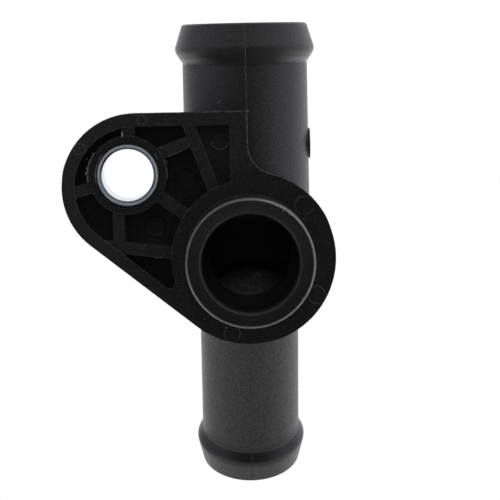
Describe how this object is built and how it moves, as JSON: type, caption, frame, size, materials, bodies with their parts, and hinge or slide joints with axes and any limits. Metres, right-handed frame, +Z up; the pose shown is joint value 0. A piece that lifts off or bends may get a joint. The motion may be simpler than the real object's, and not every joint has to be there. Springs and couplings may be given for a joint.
{
  "type": "coolant flange",
  "caption": "Moulded plastic coolant flange: a plug-in spigot, a ribbed one-bolt lug with a steel sleeve, and two beaded hose stubs, one upright and one tilted back.",
  "frame": {"origin": "on the spigot's axis, in the plane of the flange's mating face", "axes": "-Y along the spigot towards its mouth, +Z up along the upper hose stub, -X towards the bolt hole's side"},
  "size_m": [0.0441, 0.0543, 0.0779],
  "materials": {
    "housing_plastic": "black glass-filled nylon, smooth on the flange and finely grained on the stubs",
    "sleeve_steel": "bright zinc plate"
  },
  "bodies": {
    "root": {"housing": "housing_plastic", "bolt_sleeve": "sleeve_steel"}
  },
  "joints": []
}
